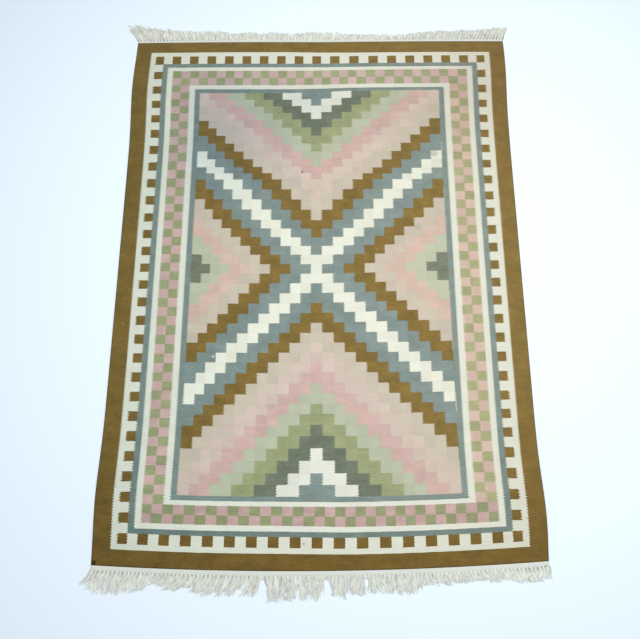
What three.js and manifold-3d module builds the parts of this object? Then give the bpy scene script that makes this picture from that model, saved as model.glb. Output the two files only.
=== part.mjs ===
// A flat-woven kilim rug with a cream heading and a knotted warp fringe at each end.
// Millimetres, +Z up. The rug lies on z = 0 with its middle at the origin.
// X runs across the rug and Y along it: the far end is at +Y and the near end at -Y.

import * as THREE from 'three';
import Module from 'manifold-3d';
import { mergeVertices } from 'three/addons/utils/BufferGeometryUtils.js';

const wasm = await Module();
wasm.setup();

// The weave, measured between the outer edges of its brown border.
const RUG_WIDTH = 1700;
const RUG_LENGTH = 2400;
const WEAVE_THICKNESS = 4;
const EDGE_CHAMFER = 1;
const SIDE_STEPS = 60;
const END_STEPS = 40;

// How far the outline departs from a true rectangle.
const NEAR_END_BOW = 29;
const FAR_END_DIP = 2.5;
const LEFT_SIDE = {
  offset: 1,
  swells: [
    { y: 950, out: 11, reach: 200 },
    { y: -950, out: 9.5, reach: 190 },
  ],
};
const RIGHT_SIDE = {
  offset: -8,
  swells: [
    { y: 1090, out: 11, reach: 230 },
    { y: -1030, out: 13, reach: 190 },
  ],
};

// The heading strips that carry the fringe, and the gap that parts them from the weave.
const PART_GAP = 0.3;
const FAR_HEADING_DEPTH = 11;
const NEAR_HEADING_DEPTH = 19;
const HEADING_THICKNESS = 3.4;

// One lock of yarn for each knot. A lock is widest at its knot and flat underneath.
const LOCKS_PER_END = 113;
const LOCK_ROOT_DEPTH = 4;
const LOCK_KNOT_WIDTH = 8;
const LOCK_TIP_WIDTH = 4.5;
const LOCK_KNOT_HEIGHT = 3.2;
const LOCK_TIP_HEIGHT = 2.2;
const LOCK_RIDGE_SHARE = 0.55;
const LOCK_STEPS = 3;
const LOCK_END_MARGIN = 7;
const UNEVEN_LENGTH = 0.07;

// Locks set off nearly straight and reach their full slope this far out.
const FULL_SLOPE_REACH = 80;
const SLOPE_POWER = 1.3;

// Where the locks of each end point, by their place across the rug.
// slope is how far a lock runs to the right for each millimetre outwards, length its reach.
// A few locks of the near end are worn down to stubs.
const FAR_FRINGE = [
  { x: -850, slope: -0.66, length: 76 },
  { x: -790, slope: -0.54, length: 92 },
  { x: -700, slope: -0.5, length: 70 },
  { x: -560, slope: -0.35, length: 55 },
  { x: -490, slope: -0.34, length: 61 },
  { x: -420, slope: -0.32, length: 46 },
  { x: -380, slope: -0.3, length: 39 },
  { x: -320, slope: -0.22, length: 51 },
  { x: -270, slope: -0.18, length: 42 },
  { x: -220, slope: -0.12, length: 52 },
  { x: -140, slope: 0, length: 40 },
  { x: -60, slope: 0.08, length: 51 },
  { x: 60, slope: 0.25, length: 44 },
  { x: 120, slope: 0.34, length: 36 },
  { x: 250, slope: 0.48, length: 36 },
  { x: 320, slope: 0.56, length: 29 },
  { x: 390, slope: 0.57, length: 34 },
  { x: 460, slope: 0.58, length: 51 },
  { x: 560, slope: 0.6, length: 50 },
  { x: 720, slope: 0.56, length: 60 },
  { x: 790, slope: 0.5, length: 72 },
  { x: 850, slope: 0.3, length: 62 },
];
const NEAR_FRINGE = [
  { x: -850, slope: -0.8, length: 48 },
  { x: -810, slope: -0.42, length: 84 },
  { x: -740, slope: -0.22, length: 76 },
  { x: -650, slope: -0.1, length: 70 },
  { x: -640, slope: 0, length: 31 },
  { x: -595, slope: 0.2, length: 44 },
  { x: -545, slope: 0.33, length: 62 },
  { x: -500, slope: 0.4, length: 42 },
  { x: -478, slope: 0.4, length: 62 },
  { x: -385, slope: 0.22, length: 69 },
  { x: -345, slope: 0.1, length: 80 },
  { x: -287, slope: 0.02, length: 50 },
  { x: -262, slope: 0, length: 79 },
  { x: -220, slope: 0, length: 76 },
  { x: -218, slope: 0, length: 16 },
  { x: -204, slope: 0, length: 16 },
  { x: -202, slope: 0, length: 80 },
  { x: -140, slope: -0.03, length: 87 },
  { x: -20, slope: 0, length: 78 },
  { x: 8, slope: 0, length: 70 },
  { x: 10, slope: 0, length: 14 },
  { x: 36, slope: 0, length: 14 },
  { x: 38, slope: 0, length: 66 },
  { x: 75, slope: 0, length: 80 },
  { x: 120, slope: 0.02, length: 70 },
  { x: 157, slope: 0.02, length: 60 },
  { x: 159, slope: 0.02, length: 16 },
  { x: 173, slope: 0.02, length: 16 },
  { x: 175, slope: 0.02, length: 62 },
  { x: 205, slope: 0.02, length: 64 },
  { x: 345, slope: 0.12, length: 62 },
  { x: 372, slope: 0.3, length: 45 },
  { x: 515, slope: 0.66, length: 38 },
  { x: 577, slope: 0.7, length: 32 },
  { x: 628, slope: 0.65, length: 45 },
  { x: 665, slope: 0.62, length: 36 },
  { x: 708, slope: 0.6, length: 50 },
  { x: 788, slope: 0.54, length: 52 },
  { x: 850, slope: -0.05, length: 44 },
];

// Places across the rug where the locks part, each side leaning away by slope at the parting.
const FAR_PARTINGS = [
  { x: -280, reach: 30, slope: 0.15 },
  { x: 340, reach: 30, slope: 0.1 },
];
const NEAR_PARTINGS = [
  { x: -642, reach: 24, slope: 0.06 },
  { x: -290, reach: 22, slope: 0.1 },
  { x: -211, reach: 20, slope: 0.2 },
  { x: 23, reach: 26, slope: 0.16 },
  { x: 112, reach: 18, slope: 0.24 },
  { x: 166, reach: 24, slope: 0.18 },
];

const WEAVE_COLOUR = 0xa79c86;
const FRINGE_COLOUR = 0xd8d5c6;

function swellAt(side, y) {
  let out = side.offset;
  for (const swell of side.swells) {
    out += swell.out * Math.exp(-(((y - swell.y) / swell.reach) ** 2));
  }
  return out;
}

function endEdge(x, far) {
  const across = Math.min(1, Math.abs(x) / (RUG_WIDTH / 2));
  if (far) {
    return RUG_LENGTH / 2 + FAR_END_DIP * Math.sin(Math.PI * (1 - across));
  }
  return -RUG_LENGTH / 2 - NEAR_END_BOW * (1 - across ** 2);
}

// Turns a place on a true rectangle, each way from -1 to 1, into one on the uneven rug.
function placeOnRug(across, along) {
  const y = THREE.MathUtils.lerp(
    endEdge(across * RUG_WIDTH / 2, false),
    endEdge(across * RUG_WIDTH / 2, true),
    (along + 1) / 2,
  );
  const flatY = along * RUG_LENGTH / 2;
  const left = -RUG_WIDTH / 2 - swellAt(LEFT_SIDE, flatY);
  const right = RUG_WIDTH / 2 + swellAt(RIGHT_SIDE, flatY);
  const x = THREE.MathUtils.lerp(left, right, (across + 1) / 2);
  return new THREE.Vector2(x, y);
}

function rugOutline(inset) {
  const points = [];
  const reachX = 1 - inset / (RUG_WIDTH / 2);
  const reachY = 1 - inset / (RUG_LENGTH / 2);
  for (let i = 0; i < END_STEPS; i += 1) {
    points.push(placeOnRug(reachX * (2 * i / END_STEPS - 1), -reachY));
  }
  for (let i = 0; i < SIDE_STEPS; i += 1) {
    points.push(placeOnRug(reachX, reachY * (2 * i / SIDE_STEPS - 1)));
  }
  for (let i = 0; i < END_STEPS; i += 1) {
    points.push(placeOnRug(reachX * (1 - 2 * i / END_STEPS), reachY));
  }
  for (let i = 0; i < SIDE_STEPS; i += 1) {
    points.push(placeOnRug(-reachX, reachY * (1 - 2 * i / SIDE_STEPS)));
  }
  return points;
}

function toGeometry(corners, triangles) {
  const geometry = new THREE.BufferGeometry();
  geometry.setAttribute('position', new THREE.Float32BufferAttribute(corners, 3));
  geometry.setIndex(triangles);
  return geometry;
}

// Stacks closed rings of equal length, bottom first, and caps both ends.
function stackRings(rings) {
  const corners = rings.flat().flatMap((point) => [point.x, point.y, point.z]);
  const size = rings[0].length;
  const triangles = [];
  for (let ring = 0; ring < rings.length - 1; ring += 1) {
    for (let i = 0; i < size; i += 1) {
      const a = ring * size + i;
      const b = ring * size + (i + 1) % size;
      triangles.push(a, b, b + size, a, b + size, a + size);
    }
  }
  const top = (rings.length - 1) * size;
  const outline = rings[0].map((point) => new THREE.Vector2(point.x, point.y));
  for (const [a, b, c] of THREE.ShapeUtils.triangulateShape(outline, [])) {
    triangles.push(a, c, b);
    triangles.push(top + a, top + b, top + c);
  }
  return toGeometry(corners, triangles);
}

function atHeight(points, z) {
  return points.map((point) => new THREE.Vector3(point.x, point.y, z));
}

function makeWeave() {
  return stackRings([
    atHeight(rugOutline(0), 0),
    atHeight(rugOutline(0), WEAVE_THICKNESS - EDGE_CHAMFER),
    atHeight(rugOutline(EDGE_CHAMFER), WEAVE_THICKNESS),
  ]);
}

function makeHeading(far, depth) {
  const outwards = far ? 1 : -1;
  const inner = [];
  const outer = [];
  for (let i = 0; i <= END_STEPS; i += 1) {
    const edge = placeOnRug(2 * i / END_STEPS - 1, outwards);
    inner.push(new THREE.Vector2(edge.x, edge.y + outwards * PART_GAP));
    outer.push(new THREE.Vector2(edge.x, edge.y + outwards * depth));
  }
  const outline = far ? [...inner, ...outer.reverse()] : [...outer, ...inner.reverse()];
  return stackRings([atHeight(outline, 0), atHeight(outline, HEADING_THICKNESS)]);
}

// Reads a fringe table at x, in a straight line between its rows.
function readFringe(table, x) {
  const next = table.findIndex((row) => row.x >= x);
  if (next <= 0) {
    return table[next === 0 ? 0 : table.length - 1];
  }
  const from = table[next - 1];
  const to = table[next];
  const share = (x - from.x) / (to.x - from.x);
  return {
    slope: THREE.MathUtils.lerp(from.slope, to.slope, share),
    length: THREE.MathUtils.lerp(from.length, to.length, share),
  };
}

// A four-sided lock: flat underneath, narrower on top and towards its tip.
function makeLock(root, outwards, slope, length) {
  const rings = [];
  for (let step = 0; step <= LOCK_STEPS; step += 1) {
    const share = step / LOCK_STEPS;
    const half = THREE.MathUtils.lerp(LOCK_KNOT_WIDTH, LOCK_TIP_WIDTH, share) / 2;
    const height = THREE.MathUtils.lerp(LOCK_KNOT_HEIGHT, LOCK_TIP_HEIGHT, share);
    const out = length * share;
    const x = root.x + slope * FULL_SLOPE_REACH * (out / FULL_SLOPE_REACH) ** SLOPE_POWER;
    const y = root.y + outwards * (out - (step === 0 ? LOCK_ROOT_DEPTH : 0));
    rings.push([
      new THREE.Vector3(x - half, y, 0),
      new THREE.Vector3(x + half, y, 0),
      new THREE.Vector3(x + half * LOCK_RIDGE_SHARE, y, height),
      new THREE.Vector3(x - half * LOCK_RIDGE_SHARE, y, height),
    ]);
  }
  return joinRings(rings, outwards > 0);
}

// Joins four-cornered rings that follow one another outwards, with a flat cap at each end.
function joinRings(rings, far) {
  const corners = rings.flat().flatMap((point) => [point.x, point.y, point.z]);
  const triangles = [];
  const add = (a, b, c) => (far ? triangles.push(a, b, c) : triangles.push(a, c, b));
  for (let ring = 0; ring < rings.length - 1; ring += 1) {
    for (let i = 0; i < 4; i += 1) {
      const a = ring * 4 + i;
      const b = ring * 4 + (i + 1) % 4;
      add(a, b + 4, b);
      add(a, a + 4, b + 4);
    }
  }
  const tip = (rings.length - 1) * 4;
  add(0, 1, 2);
  add(0, 2, 3);
  add(tip, tip + 2, tip + 1);
  add(tip, tip + 3, tip + 2);
  return toGeometry(corners, triangles);
}

function toSolid(geometry) {
  const merged = mergeVertices(geometry);
  return new wasm.Manifold(new wasm.Mesh({
    numProp: 3,
    vertProperties: new Float32Array(merged.attributes.position.array),
    triVerts: new Uint32Array(merged.index.array),
  }));
}

// How far the locks at x lean away from the partings near them.
function leanAway(partings, x) {
  let slope = 0;
  for (const parting of partings) {
    const apart = x - parting.x;
    slope += parting.slope * Math.sign(apart) * Math.exp(-Math.abs(apart) / parting.reach);
  }
  return slope;
}

function makeFringe(far, depth, table, partings) {
  const outwards = far ? 1 : -1;
  let solid = toSolid(makeHeading(far, depth));
  const margin = LOCK_END_MARGIN / (RUG_WIDTH / 2);
  for (let i = 0; i < LOCKS_PER_END; i += 1) {
    const across = (1 - margin) * (2 * i / (LOCKS_PER_END - 1) - 1);
    const edge = placeOnRug(across, outwards);
    const root = new THREE.Vector2(edge.x, edge.y + outwards * depth);
    const { slope, length } = readFringe(table, across * RUG_WIDTH / 2);
    const parted = slope + leanAway(partings, edge.x);
    const uneven = 1 + UNEVEN_LENGTH * Math.sin(i * i);
    solid = solid.add(toSolid(makeLock(root, outwards, parted, length * uneven)));
  }
  const joined = solid.getMesh();
  return toGeometry(Array.from(joined.vertProperties), Array.from(joined.triVerts));
}

function makeMesh(name, geometry, color, roughness) {
  geometry.computeVertexNormals();
  const material = new THREE.MeshStandardMaterial({ color, roughness, metalness: 0 });
  const mesh = new THREE.Mesh(geometry, material);
  mesh.name = name;
  return mesh;
}

const rug = new THREE.Group();
rug.add(makeMesh('rug_weave', makeWeave(), WEAVE_COLOUR, 0.95));
rug.add(makeMesh(
  'fringe_far',
  makeFringe(true, FAR_HEADING_DEPTH, FAR_FRINGE, FAR_PARTINGS),
  FRINGE_COLOUR,
  0.9,
));
rug.add(makeMesh(
  'fringe_near',
  makeFringe(false, NEAR_HEADING_DEPTH, NEAR_FRINGE, NEAR_PARTINGS),
  FRINGE_COLOUR,
  0.9,
));

export default rug;
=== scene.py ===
"""The looks of a flat-woven kilim rug with a cream heading and a knotted fringe at each end.

Metres, +Z up. The rug lies on z = 0 with its middle at the origin, X across it and Y along it.
The far end is at +Y. Sizes below are in millimetres, as in the part's own source, except where a
comment says metres.
"""
import math

import bpy
import numpy as np
from mathutils import Matrix


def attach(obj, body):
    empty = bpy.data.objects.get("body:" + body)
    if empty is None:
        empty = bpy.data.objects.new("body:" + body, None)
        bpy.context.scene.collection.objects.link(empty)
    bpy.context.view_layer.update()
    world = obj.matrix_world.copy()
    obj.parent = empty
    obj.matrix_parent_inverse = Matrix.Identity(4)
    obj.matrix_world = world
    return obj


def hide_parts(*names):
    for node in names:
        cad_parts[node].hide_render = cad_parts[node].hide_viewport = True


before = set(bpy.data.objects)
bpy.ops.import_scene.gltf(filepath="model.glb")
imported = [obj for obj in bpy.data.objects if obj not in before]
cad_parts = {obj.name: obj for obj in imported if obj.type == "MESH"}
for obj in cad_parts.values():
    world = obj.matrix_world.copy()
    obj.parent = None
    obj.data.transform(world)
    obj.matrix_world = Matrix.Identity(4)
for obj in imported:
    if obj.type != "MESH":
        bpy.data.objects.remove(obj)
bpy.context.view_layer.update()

MM = 0.001

# The weave's outline, as in the part's source.
RUG_WIDTH = 1700
RUG_LENGTH = 2400
WEAVE_THICKNESS = 4
NEAR_END_BOW = 29
FAR_END_DIP = 2.5
LEFT_OFFSET = 1
RIGHT_OFFSET = -8
# Each swell is (place along the rug, how far it stands out, its reach).
LEFT_SWELLS = ((950, 11, 200), (-950, 9.5, 190))
RIGHT_SWELLS = ((1090, 11, 230), (-1030, 13, 190))
# Swells fade towards the middle of the rug over this distance.
SWELL_DEPTH = 350

# The weaver's own widths, from a side edge and from an end edge to the joins between stripes:
# brown, margin, squares, blue, white, checks, white, frame, and then the field.
SIDE_JOINS = (68, 93, 127, 151, 177, 255, 280, 304)
END_JOINS = (59, 79, 121, 142, 159, 237, 257, 276)
# Places of some stripes in that order, counted from 0.
SQUARES, OUTER_BLUE, CHECKS, INNER_BLUE, FIELD = 2, 3, 5, 7, 8
FIELD_COLUMNS = 25
FIELD_ROWS = 43

# Where those joins lie on this rug. Across, from the middle; the edges come first and last.
LEFT_JOINS = (-851, -782, -759, -722, -698, -674, -594, -569, -546)
RIGHT_JOINS = (536, 559, 585, 667, 691, 714.5, 750, 774, 842.5)
# Along, from the far end. Each end leans a little from its left half to its right half.
FAR_JOINS_LEFT = (58.5, 80.5, 123, 143.5, 162.5, 242.5, 264.5, 285.5)
FAR_JOINS_RIGHT = (62.5, 81.5, 122, 142, 159, 237, 257.5, 274.5)
NEAR_JOINS_LEFT = (2125, 2144, 2162, 2234.5, 2256, 2276, 2316.5, 2337.5)
NEAR_JOINS_RIGHT = (2127, 2147.5, 2165, 2241, 2261, 2281, 2321.5, 2342)
LEAN_FROM, LEAN_TO = -140, 130
# Rows of the field are beaten closer at the far end, and not quite level:
# (join, its distance from the far end at the left, in the middle and at the right).
ROW_JOINS = (
    (4, 435, 424, 428), (6, 514, 512, 513), (8, 595, 594, 598), (10, 676, 671, 685),
    (12, 738, 736, 742), (16, 935, 938, 932), (20, 1103, 1102, 1100), (23, 1235, 1234, 1230),
    (26, 1375, 1368, 1361), (29, 1502, 1499, 1502), (31, 1586, 1583, 1587), (34, 1721, 1715, 1718),
    (36, 1805, 1799, 1801), (38, 1895, 1887, 1895), (41, 2037, 2035, 2041),
)
ROWS_READ_AT = (-416, 0, 395)
# Columns stray from even spacing: (join, how far right at the far end, and at the near end).
COLUMN_STRAY = (
    (0, 0, 0), (1, 0, 2), (2, -7, -6), (4, -12, -10.5), (6, -14, -12), (9, -17, -12.5),
    (12, -18, -13), (14, -13, -4.5), (16, -9, -3), (18, -8.5, -1), (21, -9, -4), (24, -7.5, -2),
    (25, 0, 0),
)

# Places of every fifth join between the checks, and between the squares and their gaps,
# from the far left corner of the true rectangle: down the sides, or across the ends.
LADDER_STEP = 5
CHECK_LADDERS = {
    "left": (203, 395, 604, 824, 1026, 1229, 1435, 1641, 1832, 2022, 2212),
    "right": (199, 404, 607, 809, 1020, 1227, 1436, 1644, 1854, 2061, 2253),
    "far": (210, 412, 613, 815, 1013, 1230, 1435, 1660),
    "near": (207, 414, 620, 826, 1021, 1208, 1401, 1614),
}
SQUARE_LADDERS = {
    "left": (85, 287, 482, 696, 910, 1112, 1308, 1516, 1721, 1925, 2125, 2323),
    "right": (79, 289, 492, 690, 893, 1107, 1311, 1520, 1729, 1920, 2127, 2327),
    "far": (84, 284, 487, 687, 892, 1114, 1325, 1532, 1766),
    "near": (84, 281, 487, 692, 898, 1115, 1329, 1535, 1728),
}

# Mesh of the weave: how many quads each stripe and each cell of the field is wide.
STRIPE_QUADS = (6, 3, 3, 2, 3, 7, 3, 2)
CELL_QUADS = 4
# The rounded rim: (inset from the outline, share of the thickness), from the top down.
RIM = ((1.4, 1.0), (0.4, 0.86), (0.0, 0.5), (0.4, 0.14), (1.4, 0.0))
RIPPLE_HEIGHT = 0.6
# The weave's own map: the top, the underside to its right, and the rim in a band above both.
MAP_MARGIN = 0.004
MAP_HEIGHT = 0.972
TOP_MAP_WIDTH = 0.706
UNDER_MAP_LEFT, UNDER_MAP_WIDTH = 0.716, 0.28
RIM_MAP_FROM, RIM_MAP_HEIGHT, RIM_MAP_WIDTH = 0.98, 0.018, 0.99

# Heading strips.
PART_GAP = 0.3
FAR_HEADING_DEPTH = 11
NEAR_HEADING_DEPTH = 19
HEADING_THICKNESS = 3.4
HEADING_STEPS = 340
HEADING_RIB = 0.12
# Its outer edge waves in and out by this much. A whole wave is 2 pi times this length.
HEADING_WAVE, HEADING_WAVE_LENGTH = 0.5, 37

# Fringe: one lock of yarns at each knot.
LOCKS_PER_END = 113
LOCK_END_MARGIN = 7
# The locks start this far inside the outer edge of the heading.
ROOT_INSET = 2
# A lock leans more and more with its distance from the root, and fully at this distance.
FULL_SLOPE_REACH = 80
SLOPE_POWER = 1.3
YARNS_PER_LOCK = 18
YARN_STEPS = 8
YARN_RADIUS = 1.1
YARN_FLATNESS = (1.0, 0.6, 1.0)
KNOT_WIDTH = 11
LOCK_SPREAD = 9
# (place across, how far a lock runs to the right for each millimetre outwards, its length)
FAR_FRINGE = (
    (-850, -0.66, 76), (-790, -0.54, 92), (-700, -0.5, 70), (-560, -0.35, 55), (-490, -0.34, 61),
    (-420, -0.32, 46), (-380, -0.3, 39), (-320, -0.22, 51), (-270, -0.18, 42), (-220, -0.12, 52),
    (-140, 0, 40), (-60, 0.08, 51), (60, 0.25, 44), (120, 0.34, 36), (250, 0.48, 36),
    (320, 0.56, 29), (390, 0.57, 34), (460, 0.58, 51), (560, 0.6, 50), (720, 0.56, 60),
    (790, 0.53, 74), (850, 0.34, 66),
)
NEAR_FRINGE = (
    (-850, -0.8, 48), (-810, -0.36, 84), (-730, -0.35, 76), (-637, -0.3, 70), (-617, -1.0, 31),
    (-551, -1.0, 44), (-485, -0.75, 62), (-466, -0.7, 42), (-427, -0.65, 62), (-352, -0.6, 69),
    (-325, -0.5, 80), (-282, -0.4, 50), (-251, -0.4, 79), (-220, -0.3, 76), (-218, 0, 16),
    (-204, 0, 16), (-202, 0, 80), (-140, -0.03, 87), (-20, 0, 78), (8, 0, 70),
    (10, 0, 14), (36, 0, 14), (38, 0, 66), (75, 0, 80), (120, 0.02, 70),
    (157, 0.02, 60), (159, 0.02, 16), (173, 0.02, 16), (175, 0.02, 62), (205, 0.02, 64),
    (345, 0.12, 62), (372, 0.3, 45), (515, 0.66, 38), (577, 0.7, 32), (628, 0.65, 45),
    (665, 0.62, 36), (708, 0.6, 50), (788, 0.54, 52), (850, -0.05, 44),
)
# Places where the locks part from each other: (place, reach, slope away from it).
FAR_PARTINGS = ((-280, 30, 0.15), (340, 30, 0.1))
NEAR_PARTINGS = (
    (-627, 24, 0.06), (-282, 22, 0.1), (-211, 20, 0.2), (23, 26, 0.16), (112, 18, 0.24),
    (166, 24, 0.18),
)
UNEVEN_LENGTH = 0.07
# How far the middle of a lock curls to the right, by place across each end.
FAR_CURL = ((0, 0),)
NEAR_CURL = ((-640, 0), (-600, 7), (-300, 6), (-230, 0))
# How much painted shade falls in the slits between the locks, by place across each end.
FAR_SLIT_SHADE = (
    (-690, 1), (-600, 0.7), (-250, 0), (240, 0), (320, 0.6), (400, 0.5), (460, 0.3), (660, 0.4),
    (730, 1),
)
NEAR_SLIT_SHADE = ((-850, 1), (-420, 0.9), (-260, 0.5), (-220, 0), (640, 0.1), (740, 1))
# Shares of a lock's length: its longest yarn, and by how much chance shortens the others.
LONGEST_YARN = 1.04
YARN_SHORTFALL = 0.24
# How far chance moves a yarn aside at its tip, and how far it wobbles on its way.
YARN_STRAY = 17
YARN_WOBBLE = 1.7
# By what share a yarn is thinner at its tip.
YARN_THINNING = 0.6
# How much chance lengthens a lock, as a share, leans it, as a slope, and bends it.
LOCK_LENGTHENING = 0.09
LOCK_LEAN = 0.1
LOCK_BEND = 5
# Yarns pile up at the knots, and lie flatter towards the tips.
PILE_HEIGHT = 2.4
# Half the length and half the height of a knot, and where its middle is from a lock's root.
KNOT_HALF_SIZES = (4.5, 1.7)
KNOT_OUT, KNOT_UP = 2.5, 1.75
# How far apart tangles are, how far they push a yarn aside at each end, and how they calm down
# towards the corners.
TANGLE_SIZE = 28
FAR_TANGLE, NEAR_TANGLE = 9, 26
# Yarns of one lock lie this far apart in the tangle's pattern, so they don't all move alike.
TANGLE_LAYER = 6
CALM_REACH = 600
CALM_SHARE = 0.86
# Yarns whose height chance is below this lie underneath and fill the slits between locks.
UNDER_CHANCE = -0.3
# What sets one lock apart from the next, and one yarn from the next.
LOCK_CHANCES = ("lock_length", "lock_lean", "lock_bend", "lock_tone")
YARN_CHANCES = ("length_chance", "side_chance", "height_chance", "tone")
FAR_SEED, NEAR_SEED = 10, 50
LOCK_SEED_STEP = 20
# Inputs of the fringe's node tree.
FRINGE_INPUTS = (
    ("Outwards", "NodeSocketFloat", 1.0),
    ("Yarns in a lock", "NodeSocketInt", YARNS_PER_LOCK),
    ("Knot width", "NodeSocketFloat", KNOT_WIDTH * MM),
    ("Spread", "NodeSocketFloat", LOCK_SPREAD * MM),
    ("Yarn radius", "NodeSocketFloat", YARN_RADIUS * MM),
    ("Tangle depth", "NodeSocketFloat", NEAR_TANGLE * MM),
)

# Camera, at the photograph's place: metres, pixels, and degrees from straight down.
IMAGE_WIDTH = 640
FOCAL_PIXELS = 994.5
CAMERA_PLACE = (0.071, -1.844, 3.751)
CAMERA_TILT, CAMERA_PAN, CAMERA_ROLL = 23.485, -1.118, 0.6
MIDDLE_SHIFT = (25.9, 0.3)

# Light, in metres and watts: an even room, and a wide soft lamp that faces down over the right.
WORLD_LIGHT = 0.446
LAMP_PLACE = (0.49, 0.17, 3.6)
LAMP_SIZE = 2.4
LAMP_POWER = 124

# Floor: its colour, how far it reaches in metres, and how far below the rug it is in millimetres.
FLOOR_COLOUR = (0.775, 0.89, 0.997, 1)
FLOOR_REACH = 14
FLOOR_BELOW = 0.2

# Dyes, as they look in the photograph at the middle of the rug, and the light that falls there.
LIGHT_ON_RUG = 1.33
BROWN = "897138"
WHITE = "F0F3E2"
BORDER_WHITE = "ECEFE0"
BLUE = "889994"
BORDER_BLUE = "869791"
DARK_GREEN = "76806D"
MID_GREEN = "A2AA7F"
LIGHT_GREEN = "C0C7AD"
PINK = "D7B8AF"
PINK_BEIGE = "DBCABC"
SAND = "D3C8B6"
SIDE_PINK = "DDC2B3"
SIDE_LIGHT_GREEN = "C4CBB1"
SIDE_DARK_GREEN = "7E8671"
# Checks of each side of the border: their green and their pink.
CHECK_DYES = {
    "left": ("A5AC82", "D7B9B2"), "right": ("AEB083", "DCC1B2"),
    "far": ("A7AE83", "D6BBB4"), "near": ("9AA178", "CDAEA8"),
}
FAR_YARN = "F2F5E8"
NEAR_YARN = "F1F6ED"
HEADING_CREAM = "ECF3EA"
STRIPE_DYES = (BROWN, BORDER_WHITE, BORDER_WHITE, BORDER_BLUE, BORDER_WHITE, BORDER_WHITE,
               BORDER_WHITE, BORDER_BLUE, WHITE)
FIELD_DYES = (BLUE, BORDER_WHITE, DARK_GREEN, MID_GREEN, LIGHT_GREEN, PINK, PINK_BEIGE, SAND, BROWN,
              BLUE, WHITE, BLUE, BROWN, SAND, SIDE_PINK, SIDE_LIGHT_GREEN, SIDE_DARK_GREEN)
# Painted light falloff: how the colours change from the left edge to the right, from the near end to
# the far one, and from the middle out to both sides: red, green and blue, for each metre or square
# metre.
LIGHT_FALLOFF_ACROSS = (-0.006, -0.05, -0.084)
LIGHT_FALLOFF_ALONG = (-0.035, -0.04, -0.05)
LIGHT_FALLOFF_OUTWARDS = (-0.14, -0.12, -0.15)
LIGHT_AT_MIDDLE = 1.03
# Wide patches where the colour is a little darker and tinted:
# (X, Y, reach, first stripe that is darkened, red, green, blue).
DARKER_PATCHES = (
    (-430, 720, 520, 5, 0.80, 0.85, 0.95),
    (480, 760, 420, 5, 0.94, 0.96, 0.96),
    (0, 860, 260, 5, 0.93, 0.94, 0.95),
    (830, 950, 520, 0, 0.90, 0.86, 0.86),
    (-820, 500, 420, 0, 0.94, 0.96, 0.96),
)

# Small stains, flecks and knots of other yarn: (X, Y, reach, colour, strength).
MARKS = (
    (501, 585, 22, "9FA6A0", 0.5),
    (416, 217, 20, "A9A79C", 0.35),
    (-82, 493, 6, "5E4A32", 0.9),
    (-435, -374, 8, "D9DEDB", 0.8),
    (-64, -1129, 8, "B08F7C", 0.4),
    (-261, 1166, 6, "B9AE8C", 0.45),
    (-187, 1186, 5, "B9AE8C", 0.4),
    (-145, 1153, 5, "B9AE8C", 0.4),
    (-810, -223, 6, "B9AE8C", 0.5),
    (186, 84, 6, "A9996F", 0.5),
    (237, 108, 6, "A9996F", 0.5),
)
# Painted shadow of a small fold in the near left corner, and a brown thread caught in the near
# heading:
# (X, Y, half its width, half its length, colour).
CORNER_FOLD_SHADOW = (-842, -1191, 7, 8, "46381A")
THREAD = (838, -1221, 9, 4, "86664B")
# Such a mark is solid in its middle and fades out past its half sizes.
MARK_SOLIDITY, MARK_STRENGTH = 1.6, 0.9

# Weave detail. Teeth wander up and down, and upright joins wander sideways with them.
TOOTH_PITCH = 11
TOOTH_DEPTH = 2.9
# How flat the teeth are cut, and how much chance changes their depth and their pitch.
TOOTH_CUT, TOOTH_LEAST, TOOTH_CHANCE, TOOTH_WANDER = 1.6, 0.75, 0.45, 0.3
WANDER_SPOTS = (30, 30, 30)
# How strongly teeth and wander show at the stripes of the borders.
STRIPE_TOOTH, STRIPE_WANDER = 1.2, 0.6
# Level joins are slightly wavy.
WAVE_SPOTS, WAVE_DEPTH = (40, 400, 40), 1.3
# Painted shade: the weave is darker within this distance of its rim, for the thin shadow along its
# edges.
SHADED_RIM_WIDTH, RIM_PAINTED_SHADE = 2.6, 0.4
# Relief of the weave, in its bump: ribs over the warp, picks of weft that bow over the ribs,
# and uneven wool.
WARP_PITCH, WARP_RIB = 4.6, 0.12
WEFT_PITCH, WEFT_RIB, WEFT_BOW = 2.3, 0.07, 12.0
MOTTLE_RELIEF = 0.15
# Lengths that turn waves and teeth into shares of a square, and of a row and a column of the
# field. The teeth of the squares and checks at the ends are small, so theirs is long.
SQUARE_STEP, SQUARE_TOOTH_STEP = 41.0, 70.0
ROW_STEP, COLUMN_STEP = 43.0, 43.3

# Spots of uneven wool: their lengths along X, Y and Z, and how strongly they show.
SLUB_SPOTS, SLUB_TONE = (7, 3.5, 7), 0.2
PICK_SPOTS, PICK_TONE = (110, 6, 110), 0.14
MOTTLE_SPOTS, MOTTLE_TONE = (20, 12, 20), 0.22
CLOUD_SPOTS, CLOUD_TONE = (80, 50, 80), 0.3
CELL_TONE, CHECK_TONE = 0.05, 0.07
# Dark dyes are more uneven than pale ones: for black, the change up to white, and the least.
UNEVEN_DARK, UNEVEN_FALL, LEAST_UNEVEN = 1.25, -2.3, 0.2
# Faint lines round the cells of the field: where they start, as a share of a cell from its
# middle, how dark they get, and the spots where they show.
SEAM_FROM, SEAM_DEPTH = 0.455, 1.6
SEAM_SPOTS, SEAM_SHOWN = (60, 60, 60), 0.7
# Spots whose hue turns a little to red or to blue, more so in the blue stripes.
HUE_SPOTS, FINE_HUE_SPOTS, FINE_HUE = (30, 17, 30), (12, 7, 12), 0.4
HUE_TURN, BLUE_HUE_TURN = 0.55, 0.9
HUE_TINT = (0.18, -0.02, -0.2)
# Painted shade: the dyes are darker on the left, and the outer border darkens towards the near end,
# from this Y.
SHADE_GAMMA_ACROSS, NEAR_SHADE_GAMMA, NEAR_SHADE_FROM = -0.0001, 0.17, -200.0
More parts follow.
